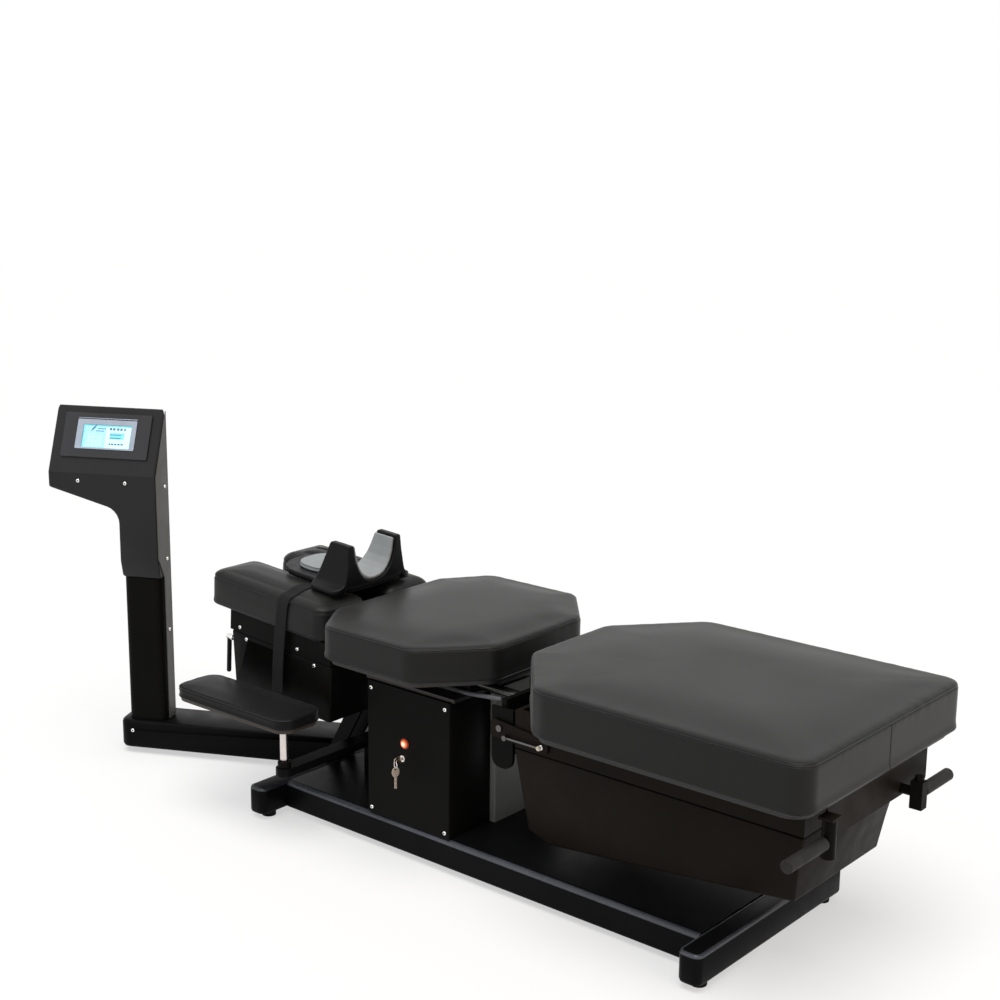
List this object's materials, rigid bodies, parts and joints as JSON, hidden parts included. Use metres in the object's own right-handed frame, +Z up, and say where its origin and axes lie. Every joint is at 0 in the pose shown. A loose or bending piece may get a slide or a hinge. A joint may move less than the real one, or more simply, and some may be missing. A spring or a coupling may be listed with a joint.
{
  "type": "traction table",
  "caption": "Padded traction table with a tilting head unit, a sliding pull carriage, swivelling arm supports and a console tower on a floor arm.",
  "frame": {"origin": "centre of the footprint of the box round the whole part, on the floor", "axes": "+X along the table from the head end to the foot end, +Y across it to the side away from the control box, +Z up"},
  "size_m": [2.4146, 0.7506, 0.9546],
  "materials": {
    "black_paint": "satin",
    "grey_paint": "satin",
    "pale_paint": "satin",
    "steel": "satin",
    "dark_steel": "satin",
    "chrome": "polished",
    "vinyl": "satin",
    "black_plastic": "matte",
    "grey_foam": "matte",
    "rubber": "matte",
    "webbing": "matte",
    "orange_lens": "gloss",
    "ivory": "gloss",
    "screen": "gloss",
    "board": "matte"
  },
  "bodies": {
    "base": {"base_platform": "black_paint", "head_cross_tube": "black_paint", "foot_cross_tube": "black_paint", "tower_floor_arm": "black_paint", "tower_lower_post": "black_paint", "tower_side_cover": "grey_paint", "console_housing": "black_paint", "console_bezel": "black_paint", "screen_frame": "steel", "touch_screen": "screen", "control_box": "black_paint", "control_box_front_plate": "black_paint", "indicator_lamp": "orange_lens", "key_switch": "chrome", "drive_housing": "black_paint", "power_inlet": "black_plastic", "inner_column": "pale_paint", "slide_guide": "dark_steel", "thoracic_board": "board", "thoracic_cushion": "vinyl", "traction_cylinder": "dark_steel", "air_hose": "rubber", "head_yoke": "black_paint", "armrest_bar": "black_paint"},
    "key": {"switch_key": "chrome"},
    "key_bunch": {"key_ring": "chrome", "spare_key": "chrome"},
    "carriage": {"carriage_head": "black_paint", "near_slide_bar": "dark_steel", "far_slide_bar": "dark_steel", "traction_rod": "chrome"},
    "lumbar": {"lumbar_frame": "black_paint", "lumbar_housing": "black_paint", "lumbar_board": "board", "lumbar_cushion": "vinyl", "near_pivot_bracket": "dark_steel", "far_pivot_bracket": "dark_steel", "near_pivot_bolt": "steel", "far_pivot_bolt": "steel", "handle_plate": "black_paint"},
    "lock": {"lock_lever": "dark_steel", "ball_knob": "ivory"},
    "near_handle_unit": {"near_handle": "black_paint", "near_grip": "rubber"},
    "far_handle_unit": {"far_handle": "black_paint", "far_grip": "rubber"},
    "head": {"head_frame": "black_paint", "head_housing": "black_paint", "near_head_cushion": "vinyl", "far_head_cushion": "vinyl", "head_strap": "webbing"},
    "release": {"release_lever": "black_paint"},
    "neck_saddle": {"headpiece": "black_plastic", "headpiece_liner": "grey_foam", "head_pad": "grey_foam"},
    "near_arm": {"near_arm_support": "board", "near_arm_pad": "vinyl"},
    "far_arm": {"far_arm_support": "board", "far_arm_pad": "vinyl"}
  },
  "joints": [
    {"name": "key_turn", "type": "hinge", "parent": "base", "child": "key", "pos_m": [0.04954, -0.21635, 0.256], "axis": [0, 1, 0], "range_deg": [0, 45]},
    {"name": "key_bunch_swing", "type": "hinge", "parent": "key", "child": "key_bunch", "pos_m": [0.04954, -0.23745, 0.254], "axis": [0.9397, -0.342, 0], "range_deg": [-35, 15]},
    {"name": "traction_slide", "type": "slide", "parent": "base", "child": "carriage", "axis": [1, 0, 0], "range_m": [0, 0.1], "deforming": ["air_hose"]},
    {"name": "lumbar_tilt", "type": "hinge", "parent": "carriage", "child": "lumbar", "pos_m": [0.32754, 0.00925, 0.395], "axis": [0, 1, 0], "range_deg": [-5, 8]},
    {"name": "lock_lever_turn", "type": "hinge", "parent": "lumbar", "child": "lock", "pos_m": [0.34854, -0.19255, 0.379], "axis": [0, 1, 0], "range_deg": [0, 40]},
    {"name": "near_handle_swing", "type": "hinge", "parent": "lumbar", "child": "near_handle_unit", "pos_m": [1.17134, -0.21975, 0.387], "axis": [0, 0, 1], "range_deg": [0, 90]},
    {"name": "far_handle_turn", "type": "hinge", "parent": "lumbar", "child": "far_handle_unit", "pos_m": [1.15604, 0.10925, 0.387], "axis": [1, 0, 0], "range_deg": [-90, 30]},
    {"name": "head_tilt", "type": "hinge", "parent": "base", "child": "head", "pos_m": [-0.26746, 0.00925, 0.3], "axis": [0, 1, 0], "range_deg": [-12, 3]},
    {"name": "release_lever_swing", "type": "hinge", "parent": "head", "child": "release", "pos_m": [-0.58799, -0.17275, 0.40834], "axis": [0.998, 0, -0.0628], "range_deg": [0, 60]},
    {"name": "neck_saddle_slide", "type": "slide", "parent": "head", "child": "neck_saddle", "axis": [-0.998, 0, 0.0628], "range_m": [0, 0.08]},
    {"name": "near_arm_swing", "type": "hinge", "parent": "base", "child": "near_arm", "pos_m": [-0.25046, -0.31275, 0.1853], "axis": [0, 0, 1], "range_deg": [0, 90]},
    {"name": "far_arm_swing", "type": "hinge", "parent": "base", "child": "far_arm", "pos_m": [-0.25046, 0.33125, 0.1853], "axis": [0, 0, -1], "range_deg": [0, 90]}
  ]
}
